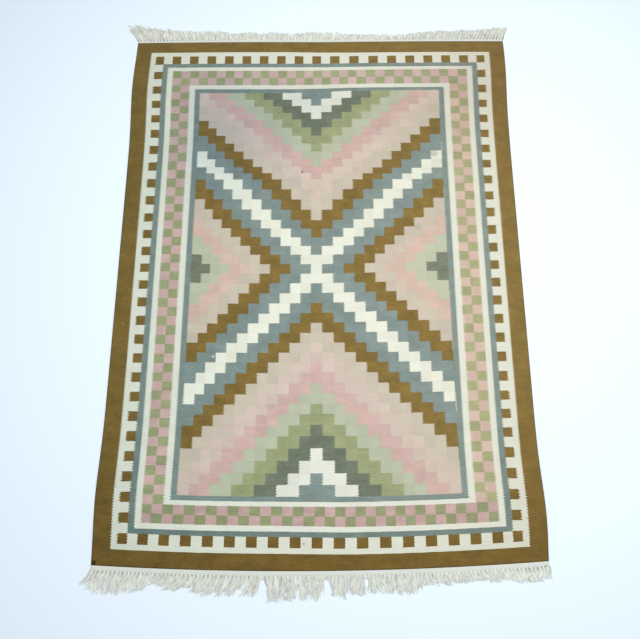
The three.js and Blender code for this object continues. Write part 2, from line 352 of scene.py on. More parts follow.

# Unevenness of the headings and of the fringe, and painted light and shade on the fringe.
HEADING_SPOTS, HEADING_CLOUD_SPOTS, HEADING_TONE = (9, 9, 9), (140, 140, 140), 0.05
HEADING_RIB_RELIEF, HEADING_SPOT_RELIEF = 0.15, 0.12
YARN_SPOTS, YARN_MOTTLE, YARN_RELIEF = (3, 3, 3), 0.05, 0.1
YARN_TONE, LOCK_TONE = 0.12, 0.03
# Clumps of the fringe get painted highlights and painted shade, in spots of these lengths.
CLUMP_SPOTS, CLUMP_PAINTED_LIGHT = (17, 30, 17), 0.26
# Painted light: yarns get lighter towards their tips. Painted shade: those underneath are darker.
YARN_LIGHT, TIP_PAINTED_LIGHT, UNDER_PAINTED_SHADE = 1.11, 0.22, 0.27
# The right part of the fringe: where it starts, and over what distance it changes.
RIGHT_FROM, RIGHT_REACH = 40.0, 400.0
# The far fringe is darker at the right. The near one is paler past PALE_FROM, by a little
# for each millimetre.
FAR_RIGHT_DARKENING = 0.04
PALE_FROM, NEAR_PALING = 300.0, 0.00012
# Painted shade in the slits between the locks: how far from a lock's middle it starts, as a share, how
# dark it is, and how soon it ends outwards. It ends later at the right, and later still there at the
# far end.
SLIT_FROM = 0.6
SLIT_SHADE, LEAST_SLIT_SHADE = 0.5, 0.06
SLIT_START, SLIT_FADE, RIGHT_SLIT_FADE, FAR_RIGHT_SLIT_FADE = 1.3, -6.0, 3.2, 1.6


def linear(code, strength=1.0):
    """A colour written as six hexadecimal digits, as linear red, green, blue and alpha."""
    parts = [int(code[i:i + 2], 16) / 255 for i in (0, 2, 4)]
    parts = [p / 12.92 if p <= 0.04045 else ((p + 0.055) / 1.055) ** 2.4 for p in parts]
    return (*[min(1.0, p * strength) for p in parts], 1.0)


def dye(code):
    return linear(code, 1 / LIGHT_ON_RUG)


# The shape of the rug


def swell(swells, y):
    total = np.zeros_like(y)
    for place, out, reach in swells:
        total = total + out * np.exp(-(((y - place) / reach) ** 2))
    return total


def end_edge(x, far):
    across = np.minimum(1, np.abs(x) / (RUG_WIDTH / 2))
    if far:
        return RUG_LENGTH / 2 + FAR_END_DIP * np.sin(np.pi * (1 - across))
    return -RUG_LENGTH / 2 - NEAR_END_BOW * (1 - across ** 2)


def mirrored(joins, size):
    """Joins from one edge, followed by the same joins from the opposite edge."""
    return [*joins, *[size - join for join in reversed(joins)]]


def place_on_rug(across, along):
    """Turns the weaver's distances from the left side and the far end into X and Y."""
    side, end = SIDE_JOINS[-1], END_JOINS[-1]
    weaver_x = [0, *mirrored(SIDE_JOINS, RUG_WIDTH), RUG_WIDTH]
    x = np.interp(across, weaver_x, [*LEFT_JOINS, *RIGHT_JOINS])
    column = (across - side) / (RUG_WIDTH - 2 * side) * FIELD_COLUMNS
    joins, far_stray, near_stray = np.array(COLUMN_STRAY).T
    near_share = along / RUG_LENGTH
    x = x + np.interp(column, joins, far_stray) * (1 - near_share)
    x = x + np.interp(column, joins, near_stray) * near_share

    step = (RUG_LENGTH - 2 * end) / FIELD_ROWS
    joins, *places = np.array(ROW_JOINS, float).T
    near_joins = [RUG_LENGTH - join for join in reversed(END_JOINS)]
    weaver_y = [0, *END_JOINS, *(end + joins * step), *near_joins, RUG_LENGTH]
    lean = np.clip((x - LEAN_FROM) / (LEAN_TO - LEAN_FROM), 0, 1)
    distances = []
    for rows in places:
        left_joins = [0, *FAR_JOINS_LEFT, *rows, *NEAR_JOINS_LEFT, RUG_LENGTH]
        right_joins = [0, *FAR_JOINS_RIGHT, *rows, *NEAR_JOINS_RIGHT, RUG_LENGTH]
        left = np.interp(along, weaver_y, left_joins)
        right = np.interp(along, weaver_y, right_joins)
        distances.append(left + (right - left) * lean)
    at_left, down, at_right = distances
    left_place, middle, right_place = ROWS_READ_AT
    left_share = np.clip((middle - x) / (middle - left_place), 0, 1)
    right_share = np.clip((x - middle) / (right_place - middle), 0, 1)
    down = down + (at_left - down) * left_share + (at_right - down) * right_share

    flat_y = RUG_LENGTH / 2 - down
    from_left = x + RUG_WIDTH / 2 + LEFT_OFFSET
    from_right = RUG_WIDTH / 2 + RIGHT_OFFSET - x
    far = end_edge(x, True)
    near = end_edge(x, False)
    x = x - swell(LEFT_SWELLS, flat_y) * np.exp(-from_left / SWELL_DEPTH)
    x = x + swell(RIGHT_SWELLS, flat_y) * np.exp(-from_right / SWELL_DEPTH)
    return x, far + (near - far) * down / RUG_LENGTH


def stripe_lines(joins, cells, size):
    """Grid lines across the rug: every join, with evenly spaced lines between them."""
    lines = [0.0]
    for join, quads in zip(joins, STRIPE_QUADS):
        lines += list(np.linspace(lines[-1], join, quads + 1)[1:])
    middle = list(np.linspace(lines[-1], size - lines[-1], cells * CELL_QUADS + 1)[1:-1])
    return np.array(lines + middle + [size - line for line in reversed(lines)])


def on_ladder(place, ladder):
    """How many joins of a ladder lie before a place, with the share of the next step."""
    first_step = (ladder[1] - ladder[0]) / LADDER_STEP
    last_step = (ladder[-1] - ladder[-2]) / LADDER_STEP
    places = [ladder[0] - LADDER_STEP * first_step, *ladder, ladder[-1] + LADDER_STEP * last_step]
    return np.interp(place, places, (np.arange(len(places)) - 1) * LADDER_STEP)


def weave_marks(across, along, x, y):
    """The numbers that the pattern is woven by, at each point of the weave."""
    right = across > RUG_WIDTH / 2
    near = along > RUG_LENGTH / 2
    rect_x = x + RUG_WIDTH / 2
    rect_y = RUG_LENGTH / 2 - y
    marks = {
        "from_side": np.minimum(across, RUG_WIDTH - across),
        "from_end": np.minimum(along, RUG_LENGTH - along),
        "column": (across - SIDE_JOINS[-1]) / (RUG_WIDTH - 2 * SIDE_JOINS[-1]) * FIELD_COLUMNS,
        "row": (along - END_JOINS[-1]) / (RUG_LENGTH - 2 * END_JOINS[-1]) * FIELD_ROWS,
    }
    for name, ladders, first in (("check", CHECK_LADDERS, 1), ("square", SQUARE_LADDERS, 0)):
        sides = [on_ladder(rect_y, ladders[side]) + first for side in ("left", "right")]
        ends = [on_ladder(rect_x, ladders[end]) + first for end in ("far", "near")]
        marks["side_" + name] = np.where(right, sides[1], sides[0])
        marks["end_" + name] = np.where(near, ends[1], ends[0])
    return marks


def ripple(x, y):
    """Long, low waves of the cloth, from 0 to 1."""
    wave = np.sin(x / 210 + 1.1 * np.sin(y / 390)) * np.sin(y / 270 + 0.8 + np.sin(x / 460))
    return 0.5 + 0.5 * wave


def ring_of(columns, rows):
    """Grid indices round the rim, anticlockwise seen from above, as (column, row) pairs."""
    near = [(i, rows - 1) for i in range(columns - 1)]
    right = [(columns - 1, j) for j in range(rows - 1, 0, -1)]
    far = [(i, 0) for i in range(columns - 1, 0, -1)]
    left = [(0, j) for j in range(rows - 1)]
    return near + right + far + left


def set_attribute(mesh, name, values):
    layer = mesh.attributes.new(name, "FLOAT", "POINT")
    layer.data.foreach_set("value", values.astype(np.float32))


def make_rug(material):
    xs = stripe_lines(SIDE_JOINS, FIELD_COLUMNS, RUG_WIDTH)
    ys = stripe_lines(END_JOINS, FIELD_ROWS, RUG_LENGTH)
    columns, rows = len(xs), len(ys)
    ring = ring_of(columns, rows)
    inset = RIM[0][0]
    top_x = np.clip(xs, inset, RUG_WIDTH - inset)
    top_y = np.clip(ys, inset, RUG_LENGTH - inset)
    grid_across, grid_along = [g.ravel() for g in np.meshgrid(top_x, top_y)]
    layers = [(grid_across, grid_along, 1.0)]
    for rim_inset, height in RIM[1:-1]:
        across = np.array([np.clip(xs[i], rim_inset, RUG_WIDTH - rim_inset) for i, _ in ring])
        along = np.array([np.clip(ys[j], rim_inset, RUG_LENGTH - rim_inset) for _, j in ring])
        layers.append((across, along, height))
    layers.append((grid_across, grid_along, 0.0))

    across = np.concatenate([layer[0] for layer in layers])
    along = np.concatenate([layer[1] for layer in layers])
    height = np.concatenate([np.full(len(layer[0]), layer[2]) for layer in layers])
    x, y = place_on_rug(across, along)
    z = height * WEAVE_THICKNESS + ripple(x, y) * RIPPLE_HEIGHT
    corners = np.stack([x, y, z], 1) * MM

    top = np.arange(columns * rows).reshape(rows, columns)
    last = len(corners) - columns * rows
    quads = np.stack([top[1:, :-1], top[1:, 1:], top[:-1, 1:], top[:-1, :-1]], -1).reshape(-1, 4)
    rim_size = len(ring)
    loops = [np.array([top[j, i] for i, j in ring])]
    for k in range(len(RIM) - 2):
        loops.append(np.arange(rim_size) + columns * rows + k * rim_size)
    loops.append(loops[0] + last)
    rim_quads = []
    for above, below in zip(loops, loops[1:]):
        rim_quads.append(np.stack([above, below, np.roll(below, -1), np.roll(above, -1)], 1))
    rim_quads = np.concatenate(rim_quads)
    faces = np.concatenate([quads, rim_quads, quads[:, ::-1] + last])

    mesh = bpy.data.meshes.new("rug")
    mesh.from_pydata(corners.tolist(), [], faces.tolist())
    for name, values in weave_marks(across, along, x, y).items():
        set_attribute(mesh, name, values)
    lay_out(mesh, across, along, len(quads), rim_size)
    return finish_mesh("rug", mesh, material)


def lay_out(mesh, across, along, face_quads, rim_size):
    """Lays the top, the underside and the rim side by side on the piece's own map."""
    u = across / RUG_WIDTH
    v = 1 - along / RUG_LENGTH
    corner = np.zeros(len(mesh.loops), np.int64)
    mesh.loops.foreach_get("vertex_index", corner)
    uv = np.zeros((len(corner), 2))
    top = slice(0, face_quads * 4)
    under = slice(len(corner) - face_quads * 4, len(corner))
    high = MAP_MARGIN + MAP_HEIGHT * v
    uv[top, 0] = MAP_MARGIN + TOP_MAP_WIDTH * u[corner[top]]
    uv[top, 1] = high[corner[top]]
    uv[under, 0] = UNDER_MAP_LEFT + UNDER_MAP_WIDTH * u[corner[under]]
    uv[under, 1] = high[corner[under]]
    bands = len(RIM) - 1
    step = np.arange(rim_size)
    for band in range(bands):
        start = face_quads * 4 + band * rim_size * 4
        quads = slice(start, start + rim_size * 4)
        high = RIM_MAP_FROM + RIM_MAP_HEIGHT * (band + np.array([0, 1, 1, 0])) / bands
        wide = (step[:, None] + np.array([0, 0, 1, 1])[None, :]) / rim_size
        uv[quads, 0] = MAP_MARGIN + RIM_MAP_WIDTH * wide.ravel()
        uv[quads, 1] = np.tile(high, rim_size)
    mesh.uv_layers.new(name="OFBake").data.foreach_set("uv", uv.ravel().astype(np.float32))


def finish_mesh(name, mesh, material):
    mesh.update()
    mesh.validate()
    mesh.polygons.foreach_set("use_smooth", np.ones(len(mesh.polygons), bool))
    mesh.materials.append(material)
    piece = bpy.data.objects.new(name, mesh)
    bpy.context.scene.collection.objects.link(piece)
    return piece


def heading_profile(depth):
    """Round the strip, from its inner foot over the top to its outer foot: (out, height)."""
    high = HEADING_THICKNESS
    return (
        (PART_GAP + 0.5, 0), (PART_GAP, 0.5), (PART_GAP, high - 0.8), (PART_GAP + 0.7, high),
        (depth * 0.35, high), (depth * 0.68, high), (depth - 1.4, high - 0.2),
        (depth - 0.3, high - 1.1), (depth, high * 0.4), (depth - 0.5, 0),
    )


def make_heading(name, far, depth, material):
    across = np.linspace(0, RUG_WIDTH, HEADING_STEPS + 1)
    x, y = place_on_rug(across, np.full_like(across, 0.0 if far else RUG_LENGTH))
    outwards = 1 if far else -1
    profile = heading_profile(depth)
    ribs = HEADING_RIB * np.sin(2 * np.pi * x / WARP_PITCH)
    lift = ripple(x, y) * RIPPLE_HEIGHT
    corners = []
    for out, high in profile:
        at_outer_edge = out > depth * 0.9
        above_floor = high > 0
        uneven = at_outer_edge * HEADING_WAVE * np.sin(x / HEADING_WAVE_LENGTH)
        raised = high + above_floor * (lift + ribs)
        corners.append(np.stack([x, y + outwards * (out + uneven), raised], 1))
    corners = np.concatenate(corners) * MM
    count = HEADING_STEPS + 1
    faces = []
    for k in range(len(profile)):
        here = k * count
        after = (k + 1) % len(profile) * count
        for i in range(HEADING_STEPS):
            quad = (here + i, after + i, after + i + 1, here + i + 1)
            faces.append(quad[::-1] if far else quad)
    for i in (0, HEADING_STEPS):
        cap = [k * count + i for k in range(len(profile))]
        faces.append(cap if (i == 0) == far else cap[::-1])
    mesh = bpy.data.meshes.new(name)
    mesh.from_pydata(corners.tolist(), [], faces)
    return finish_mesh(name, mesh, material)


# Node trees


class Wire:
    """A socket of a node tree. Sums and comparisons with it add Math nodes to the tree."""

    def __init__(self, tree, socket):
        self.tree = tree
        self.socket = socket

    def math(self, operation, *others):
        node = self.tree.nodes.new("ShaderNodeMath")
        node.operation = operation
        for slot, value in zip(node.inputs, (self, *others)):
            feed(self.tree, slot, value)
        return Wire(self.tree, node.outputs[0])

    def __add__(self, other):
        return self.math("ADD", other)

    def __sub__(self, other):
        return self.math("SUBTRACT", other)

    def __rsub__(self, other):
        return self * -1.0 + other

    def __mul__(self, other):
        return self.math("MULTIPLY", other)

    def __truediv__(self, other):
        return self.math("DIVIDE", other)

    def floor(self):
        return self.math("FLOOR")

    def fraction(self):
        return self.math("FRACT")

    def size(self):
        return self.math("ABSOLUTE")

    def lesser(self, other):
        return self.math("MINIMUM", other)

    def greater(self, other):
        return self.math("MAXIMUM", other)

    def above(self, other):
        return self.math("GREATER_THAN", other)

    def below(self, other):
        return self.math("LESS_THAN", other)

    def power(self, other):
        return self.math("POWER", other)

    def sine(self):
        return self.math("SINE")

    def is_even(self):
        """1 where a whole number is even, otherwise 0."""
        return (self * 0.5 + 0.25).fraction().below(0.5)

    def equals(self, number):
        return (self - number).size().below(0.5)


def feed(tree, socket, value):
    if isinstance(value, Wire):
        tree.links.new(value.socket, socket)
    else:
        socket.default_value = value


def add_node(tree, kind, settings=None, **inputs):
    """Adds a node. Inputs are named by their socket's name in lower case, with _ for a space."""
    node = tree.nodes.new(kind)
    for name, value in (settings or {}).items():
        setattr(node, name, value)
    for name, value in inputs.items():
        wanted = [s for s in node.inputs if s.name.lower().replace(" ", "_") == name and s.enabled]
        feed(tree, wanted[0], value)
    return node


def wire(tree, kind, settings=None, output=0, **inputs):
    """Adds a node in the same way and gives one of its outputs."""
    return Wire(tree, add_node(tree, kind, settings, **inputs).outputs[output])


def combined(tree, x, y, z):
    return wire(tree, "ShaderNodeCombineXYZ", x=x, y=y, z=z)


def vector_math(tree, operation, vector, other, output=0):
    node = add_node(tree, "ShaderNodeVectorMath", {"operation": operation}, vector=vector)
    feed(tree, node.inputs[1], other)
    return Wire(tree, node.outputs[output])


def distance_from(tree, vector, place):
    return vector_math(tree, "DISTANCE", vector, place, "Value")


def scaled(tree, vector, scale):
    return wire(tree, "ShaderNodeVectorMath", {"operation": "SCALE"}, vector=vector, scale=scale)


def attribute(tree, name):
    return wire(tree, "ShaderNodeAttribute", {"attribute_name": name}, "Fac")


def object_place(tree):
    """Object coordinates in millimetres: the vector, and its X and Y."""
    vector = scaled(tree, wire(tree, "ShaderNodeTexCoord", output="Object"), 1000.0)
    split = add_node(tree, "ShaderNodeSeparateXYZ", vector=vector)
    return vector, Wire(tree, split.outputs["X"]), Wire(tree, split.outputs["Y"])


def stretched(tree, vector, lengths):
    """The same place measured in other lengths along X, Y and Z, in millimetres."""
    return vector_math(tree, "DIVIDE", vector, lengths)


def noise(tree, vector, lengths, detail=2.0):
    """Smooth noise about 0, from roughly -1 to 1, whose spots have the given lengths."""
    spots = wire(tree, "ShaderNodeTexNoise", vector=stretched(tree, vector, lengths),
                 scale=1.0, detail=detail, roughness=0.55)
    return spots * 2.0 - 1.0


def chance(tree, first, second, seed):
    """One number about 0, from -1 to 1, for each pair of whole numbers."""
    pair = combined(tree, first, second, float(seed))
    value = wire(tree, "ShaderNodeTexWhiteNoise", {"noise_dimensions": "3D"}, "Value", vector=pair)
    return value * 2.0 - 1.0


def mix(tree, share, first, second):
    """Mixes two colours, by the sockets that a Mix node has for colours."""
    node = tree.nodes.new("ShaderNodeMix")
    node.data_type = "RGBA"
    feed(tree, node.inputs[0], share)
    feed(tree, node.inputs[6], first)
    feed(tree, node.inputs[7], second)
    return Wire(tree, node.outputs[2])


def lit(tree, colour, factor):
    """A colour made lighter or darker by a factor."""
    return scaled(tree, colour if isinstance(colour, Wire) else colour[:3], factor)


def times(tree, colour, factors):
    """A colour whose red, green and blue are each multiplied."""
    return vector_math(tree, "MULTIPLY", colour, factors)


def marked(tree, colour, x, y, mark):
    """A colour with a soft oval mark of another colour on it."""
    mark_x, mark_y, half_width, half_length, code = mark
    across = ((x - mark_x) / half_width).power(2.0)
    along = ((y - mark_y) / half_length).power(2.0)
    share = (MARK_SOLIDITY - (across + along)).greater(0.0).lesser(MARK_STRENGTH)
    return mix(tree, share, colour, dye(code))


def painted_light_falloff(tree, x, y):
    """The factors of red, green and blue of the painted light falloff at a place, in metres."""
    factors = []
    for across, along, outwards in zip(LIGHT_FALLOFF_ACROSS, LIGHT_FALLOFF_ALONG, LIGHT_FALLOFF_OUTWARDS):
        factors.append(x * across + y * along + x * x * outwards + LIGHT_AT_MIDDLE)
    return combined(tree, *factors)


def dye_table(tree, index, dyes):
    """The dye of a whole number, from a list of them."""
    ramp = tree.nodes.new("ShaderNodeValToRGB")
    ramp.color_ramp.interpolation = "CONSTANT"
    stops = ramp.color_ramp.elements
    while len(stops) < len(dyes):
        stops.new(1.0)
    for i in range(len(dyes)):
        stops[i].position = i / len(dyes)
    for i, code in enumerate(dyes):
        stops[i].color = dye(code)
    feed(tree, ramp.inputs[0], (index + 0.5) / float(len(dyes)))
    return Wire(tree, ramp.outputs[0])


def new_material(name, roughness, sheen):
    material = bpy.data.materials.new(name)
    material.use_nodes = True
    shader = material.node_tree.nodes["Principled BSDF"]
    shader.inputs["Roughness"].default_value = roughness
    shader.inputs["Specular IOR Level"].default_value = 0.2
    shader.inputs["Sheen Weight"].default_value = sheen
    shader.inputs["Sheen Roughness"].default_value = 0.5
    return material, material.node_tree, shader


def add_bump(tree, shader, height, strength):
    """Bumps a surface by a height in millimetres."""
    bump = wire(tree, "ShaderNodeBump", height=height * MM, distance=1.0, strength=strength)
    feed(tree, shader.inputs["Normal"], bump)


# The woven pattern


def stripe_count(distance, joins):
    """How many stripes in from the edge a place is."""
    count = distance.above(float(joins[0]))
    for join in joins[1:]:
        count = count + distance.above(float(join))
    return count


def teeth(tree, y, wander):
    """How far the interlocked wefts carry a colour over an upright join, in millimetres."""
    place = y / float(TOOTH_PITCH) + wander * TOOTH_WANDER
    wave = ((place.fraction() - 0.5).size() * 4.0 - 1.0) * TOOTH_CUT
    uneven = chance(tree, place.floor(), 0.0, 11) * TOOTH_CHANCE + TOOTH_LEAST
    return wave.lesser(1.0).greater(-1.0) * uneven * TOOTH_DEPTH


def field_band(column, row):
    """Counts the stepped bands of the nested diamonds, two cells to a band."""
    middle = (FIELD_COLUMNS - 1) // 2
    from_middle = (column - float(middle)).size()
    from_near_end = row.lesser(FIELD_ROWS - 1.0 - row)
    return ((from_middle + from_near_end) * 0.5).floor()


def dye_of_check(tree, green, half, first, second):
    """The dye of a check: green or pink, of the first side, or of the second where half is 1."""
    pink_dye = mix(tree, half, dye(CHECK_DYES[first][1]), dye(CHECK_DYES[second][1]))
    green_dye = mix(tree, half, dye(CHECK_DYES[first][0]), dye(CHECK_DYES[second][0]))
    return mix(tree, green, pink_dye, green_dye)


def stained(tree, colour, vector, wander):
    """Adds the small stains and flecks, each a ragged spot."""
    for mark_x, mark_y, reach, code, strength in MARKS:
        away = distance_from(tree, vector, (mark_x, mark_y, WEAVE_THICKNESS))
        away = away + wander * (reach * 0.25)
        share = (1.0 - away / float(reach)).greater(0.0) * (2.0 * strength)
        colour = mix(tree, share.lesser(strength), colour, dye(code))
    return colour


def darkened_in_patches(tree, colour, vector, stripe):
    """Multiplies the colour in the wide darker patches, fading out to their rims."""
    for patch_x, patch_y, reach, first, red, green, blue in DARKER_PATCHES:
        away = distance_from(tree, vector, (patch_x, patch_y, 0))
        share = (1.0 - away / float(reach)).greater(0.0)
        share = share * share * (share * -2.0 + 3.0) * stripe.above(first - 0.5)
        colour = mix(tree, share, colour, times(tree, colour, (red, green, blue)))
    return colour


def make_weave_material():
    material, tree, shader = new_material("woven_wool", roughness=0.88, sheen=0.25)
    vector, x, y = object_place(tree)
    wander = noise(tree, vector, WANDER_SPOTS)
    tooth = teeth(tree, y, wander)
    wave = noise(tree, vector, WAVE_SPOTS) * WAVE_DEPTH

    from_side = attribute(tree, "from_side")
    from_end = attribute(tree, "from_end")
    # Painted shade: a thin dark line round the rim of the weave.
    edge = from_side.lesser(from_end).below(SHADED_RIM_WIDTH)
    from_side = from_side + tooth * STRIPE_TOOTH + wander * STRIPE_WANDER
    from_end = from_end + wave
    side = stripe_count(from_side, SIDE_JOINS)
    end = stripe_count(from_end, END_JOINS)
    stripe = side.lesser(end)
    at_side = side.below(end)
    colour = dye_table(tree, stripe, STRIPE_DYES)

    # Squares of the outer border.
    side_square = (attribute(tree, "side_square") + wave / SQUARE_STEP).floor()
    end_square = (attribute(tree, "end_square") + tooth / SQUARE_TOOTH_STEP).floor()
    at_corner = side.equals(SQUARES) * end.equals(SQUARES)
    square = side_square.is_even() * at_side + end_square.is_even() * end.below(side) + at_corner
    square = square * stripe.equals(SQUARES)
    colour = mix(tree, square, colour, dye(BROWN))

    # Two rows of checks. The bottom row starts on the other colour.
    side_check = (attribute(tree, "side_check") + wave / SQUARE_STEP).floor()
    end_check = (attribute(tree, "end_check") + tooth / SQUARE_TOOTH_STEP).floor()
    side_step = from_side.above((SIDE_JOINS[CHECKS - 1] + SIDE_JOINS[CHECKS]) / 2.0)
    end_step = from_end.above((END_JOINS[CHECKS - 1] + END_JOINS[CHECKS]) / 2.0)
    right_half = x.above(0.0)
    near_half = attribute(tree, "row").above(FIELD_ROWS / 2.0)
    green_side = (side_check + side_step).is_even()
    green_end = (end_check + end_step + near_half).is_even()
    green = green_side * at_side + green_end * (1.0 - at_side)
    side_dye = dye_of_check(tree, green, right_half, "left", "right")
    end_dye = dye_of_check(tree, green, near_half, "far", "near")
    check_dye = mix(tree, at_side, end_dye, side_dye)
    colour = mix(tree, stripe.equals(CHECKS), colour, check_dye)

    # Nested diamonds of the field.
    column_place = attribute(tree, "column") + tooth / COLUMN_STEP
    row_place = attribute(tree, "row") + wave / ROW_STEP
    column, row = column_place.floor(), row_place.floor()
    in_field = stripe.equals(FIELD)
    colour = mix(tree, in_field, colour, dye_table(tree, field_band(column, row), FIELD_DYES))

    colour = stained(tree, colour, vector, wander)
    # Painted shadow of the small fold in the near left corner.
    colour = marked(tree, colour, x, y, CORNER_FOLD_SHADOW)

    # Uneven dye: each cell, each pick of weft and each handful of wool differs a little, and the
    # dark dyes differ more than the pale ones.
    paleness = wire(tree, "ShaderNodeSeparateColor", output="Green", color=colour)
    depth = (paleness * UNEVEN_FALL + UNEVEN_DARK).greater(LEAST_UNEVEN)
    slubs = noise(tree, vector, SLUB_SPOTS, 1.0) * SLUB_TONE
    picks = noise(tree, vector, PICK_SPOTS, 2.0) * PICK_TONE
    mottle = noise(tree, vector, MOTTLE_SPOTS, 2.0)
    cloud = noise(tree, vector, CLOUD_SPOTS, 1.0) * CLOUD_TONE
    cell = chance(tree, column, row, 3) * in_field * CELL_TONE
    check_cell = chance(tree, side_check + end_check * 0.01, side_step + end_step, 7)
    check_cell = check_cell * stripe.equals(CHECKS) * CHECK_TONE
    # Slits and turns of the weft show as faint lines round the cells, also of one colour.
    seam = (column_place.fraction() - 0.5).size().greater((row_place.fraction() - 0.5).size())
    seam = (seam - SEAM_FROM).greater(0.0) * in_field
    seam = seam * (noise(tree, vector, SEAM_SPOTS, 1.0) + SEAM_SHOWN) * SEAM_DEPTH
    tone = (slubs + picks + mottle * MOTTLE_TONE + cloud) * depth + cell + check_cell - seam
    # The rim's painted shade darkens it here, together with the uneven dye.
    colour = lit(tree, colour, tone + 1.0 - edge * RIM_PAINTED_SHADE)

    is_blue = stripe.equals(OUTER_BLUE) + stripe.equals(INNER_BLUE)
    hue = noise(tree, vector, HUE_SPOTS, 1.0) + noise(tree, vector, FINE_HUE_SPOTS, 1.0) * FINE_HUE
    hue = hue * depth * (is_blue * BLUE_HUE_TURN + HUE_TURN)
    tint = combined(tree, *[hue * share + 1.0 for share in HUE_TINT])
    colour = times(tree, colour, tint)

    colour = darkened_in_patches(tree, colour, vector, stripe)
    # Painted light: brighter in the middle and warmer to the right, darker to both sides and the far
    # end.
    colour = times(tree, colour, painted_light_falloff(tree, x / 1000.0, y / 1000.0))
    # Painted shade, by a gamma: darker to the left, and in the outer border darker towards the near
    # end.
    near_share = ((NEAR_SHADE_FROM - y) / 1000.0).greater(0.0) * stripe.below(CHECKS - 1.0)
    gamma = x * SHADE_GAMMA_ACROSS + near_share * near_share * NEAR_SHADE_GAMMA + 1.0
    shaded_colour = wire(tree, "ShaderNodeGamma", color=colour, gamma=gamma)
    feed(tree, shader.inputs["Base Color"], shaded_colour)

    ribs = (x * (2 * math.pi / WARP_PITCH)).sine() * WARP_RIB
    wefts = (y * (2 * math.pi / WEFT_PITCH) + ribs * WEFT_BOW).sine() * WEFT_RIB
    add_bump(tree, shader, ribs + wefts + mottle * MOTTLE_RELIEF, 0.6)
    return material


def make_heading_material():
    material, tree, shader = new_material("heading_weave", roughness=0.9, sheen=0.3)
    vector, x, y = object_place(tree)
    mottle = noise(tree, vector, HEADING_SPOTS, 3.0)
    cloud = noise(tree, vector, HEADING_CLOUD_SPOTS, 1.0)
    tone = (mottle + cloud) * HEADING_TONE + 1.0
    colour = marked(tree, lit(tree, dye(HEADING_CREAM), tone), x, y, THREAD)
    feed(tree, shader.inputs["Base Color"], colour)
    ribs = (x * (2 * math.pi / WARP_PITCH)).sine() * HEADING_RIB_RELIEF
    add_bump(tree, shader, mottle * HEADING_SPOT_RELIEF + ribs, 0.6)
    return material


def make_yarn_material():
    material, tree, shader = new_material("fringe_yarn", roughness=0.92, sheen=0.3)
    vector, x, y = object_place(tree)
    mottle = noise(tree, vector, YARN_SPOTS, 2.0)
    # Painted highlights and painted shade on clumps of yarn.
    clump_light = noise(tree, vector, CLUMP_SPOTS, 1.0) * CLUMP_PAINTED_LIGHT
    out = attribute(tree, "out_share")
    tone = attribute(tree, "tone") * YARN_TONE + attribute(tree, "lock_tone") * LOCK_TONE
    # Painted light: the tips of the yarns are lighter.
    tone = tone + mottle * YARN_MOTTLE + clump_light + out * out * TIP_PAINTED_LIGHT + YARN_LIGHT
    # Painted shade on the yarns that lie underneath.
    tone = tone - attribute(tree, "under") * UNDER_PAINTED_SHADE
    at_far = y.above(0.0)
    rightwards = ((x - RIGHT_FROM) / RIGHT_REACH).greater(0.0).lesser(1.0)
    cornerwards = (x.size() - PALE_FROM).greater(0.0)
    tone = tone - at_far * rightwards * FAR_RIGHT_DARKENING
    tone = tone + cornerwards * (1.0 - at_far) * NEAR_PALING
    # Painted shade: the slits between the locks are darkened, for the shade that falls between them.
    slit_fade = rightwards * (at_far * FAR_RIGHT_SLIT_FADE + RIGHT_SLIT_FADE) + SLIT_FADE
    slit = (attribute(tree, "edge") - SLIT_FROM).greater(0.0) / (1.0 - SLIT_FROM)
    slit = slit * (out * slit_fade + SLIT_START).greater(0.0).lesser(1.0)
    slit_shade = slit * (attribute(tree, "lock_slit_shade") * SLIT_SHADE + LEAST_SLIT_SHADE)
    tone = tone * (1.0 - slit_shade)
    cream = mix(tree, at_far, dye(NEAR_YARN), dye(FAR_YARN))
    feed(tree, shader.inputs["Base Color"], lit(tree, cream, tone))
    add_bump(tree, shader, mottle * YARN_RELIEF, 0.5)
    return material


# The fringe


def read_across(table, x):
    """Reads the columns of a table at places across an end. Its first column is the place."""
    places, *columns = np.array(table, float).T
    return [np.interp(x, places, column) for column in columns]


def make_roots(far, depth, table, partings, curls, slit_shades):
    """A mesh of bare points, one at the root of each lock, with what the lock follows."""
    index = np.arange(LOCKS_PER_END)
    margin = LOCK_END_MARGIN / (RUG_WIDTH / 2)
    across = (1 - margin) * (2 * index / (LOCKS_PER_END - 1) - 1)
    outwards = 1 if far else -1
    along = np.full(LOCKS_PER_END, 0.0 if far else RUG_LENGTH)
    x, y = place_on_rug((across + 1) * RUG_WIDTH / 2, along)
    x = np.linspace(x[0], x[-1], LOCKS_PER_END)
    slope, length = read_across(table, across * RUG_WIDTH / 2)
    for parting, reach, away in partings:
        slope = slope + away * np.sign(x - parting) * np.exp(-np.abs(x - parting) / reach)
    length = length * (1 + UNEVEN_LENGTH * np.sin(index * index))
    mesh = bpy.data.meshes.new("roots")
    corners = np.stack([x, y + outwards * (depth - ROOT_INSET), np.zeros_like(x)], 1) * MM
    mesh.from_pydata(corners.tolist(), [], [])
    set_attribute(mesh, "slope", slope)
    set_attribute(mesh, "reach", length * MM)
    [curl] = read_across(curls, x)
    # How much painted shade falls in the slits of each lock.
    [slit_shade] = read_across(slit_shades, x)
    set_attribute(mesh, "curl", curl * MM)
    set_attribute(mesh, "slit_shade", slit_shade)
    piece = bpy.data.objects.new("roots", mesh)
    bpy.context.scene.collection.objects.link(piece)
    return piece


def named(tree, name, kind="FLOAT"):
    return wire(tree, "GeometryNodeInputNamedAttribute", {"data_type": kind}, name=name)


def store(tree, geometry, name, value, kind="FLOAT"):
    return wire(tree, "GeometryNodeStoreNamedAttribute", {"data_type": kind, "domain": "POINT"},
                geometry=geometry, name=name, value=value)


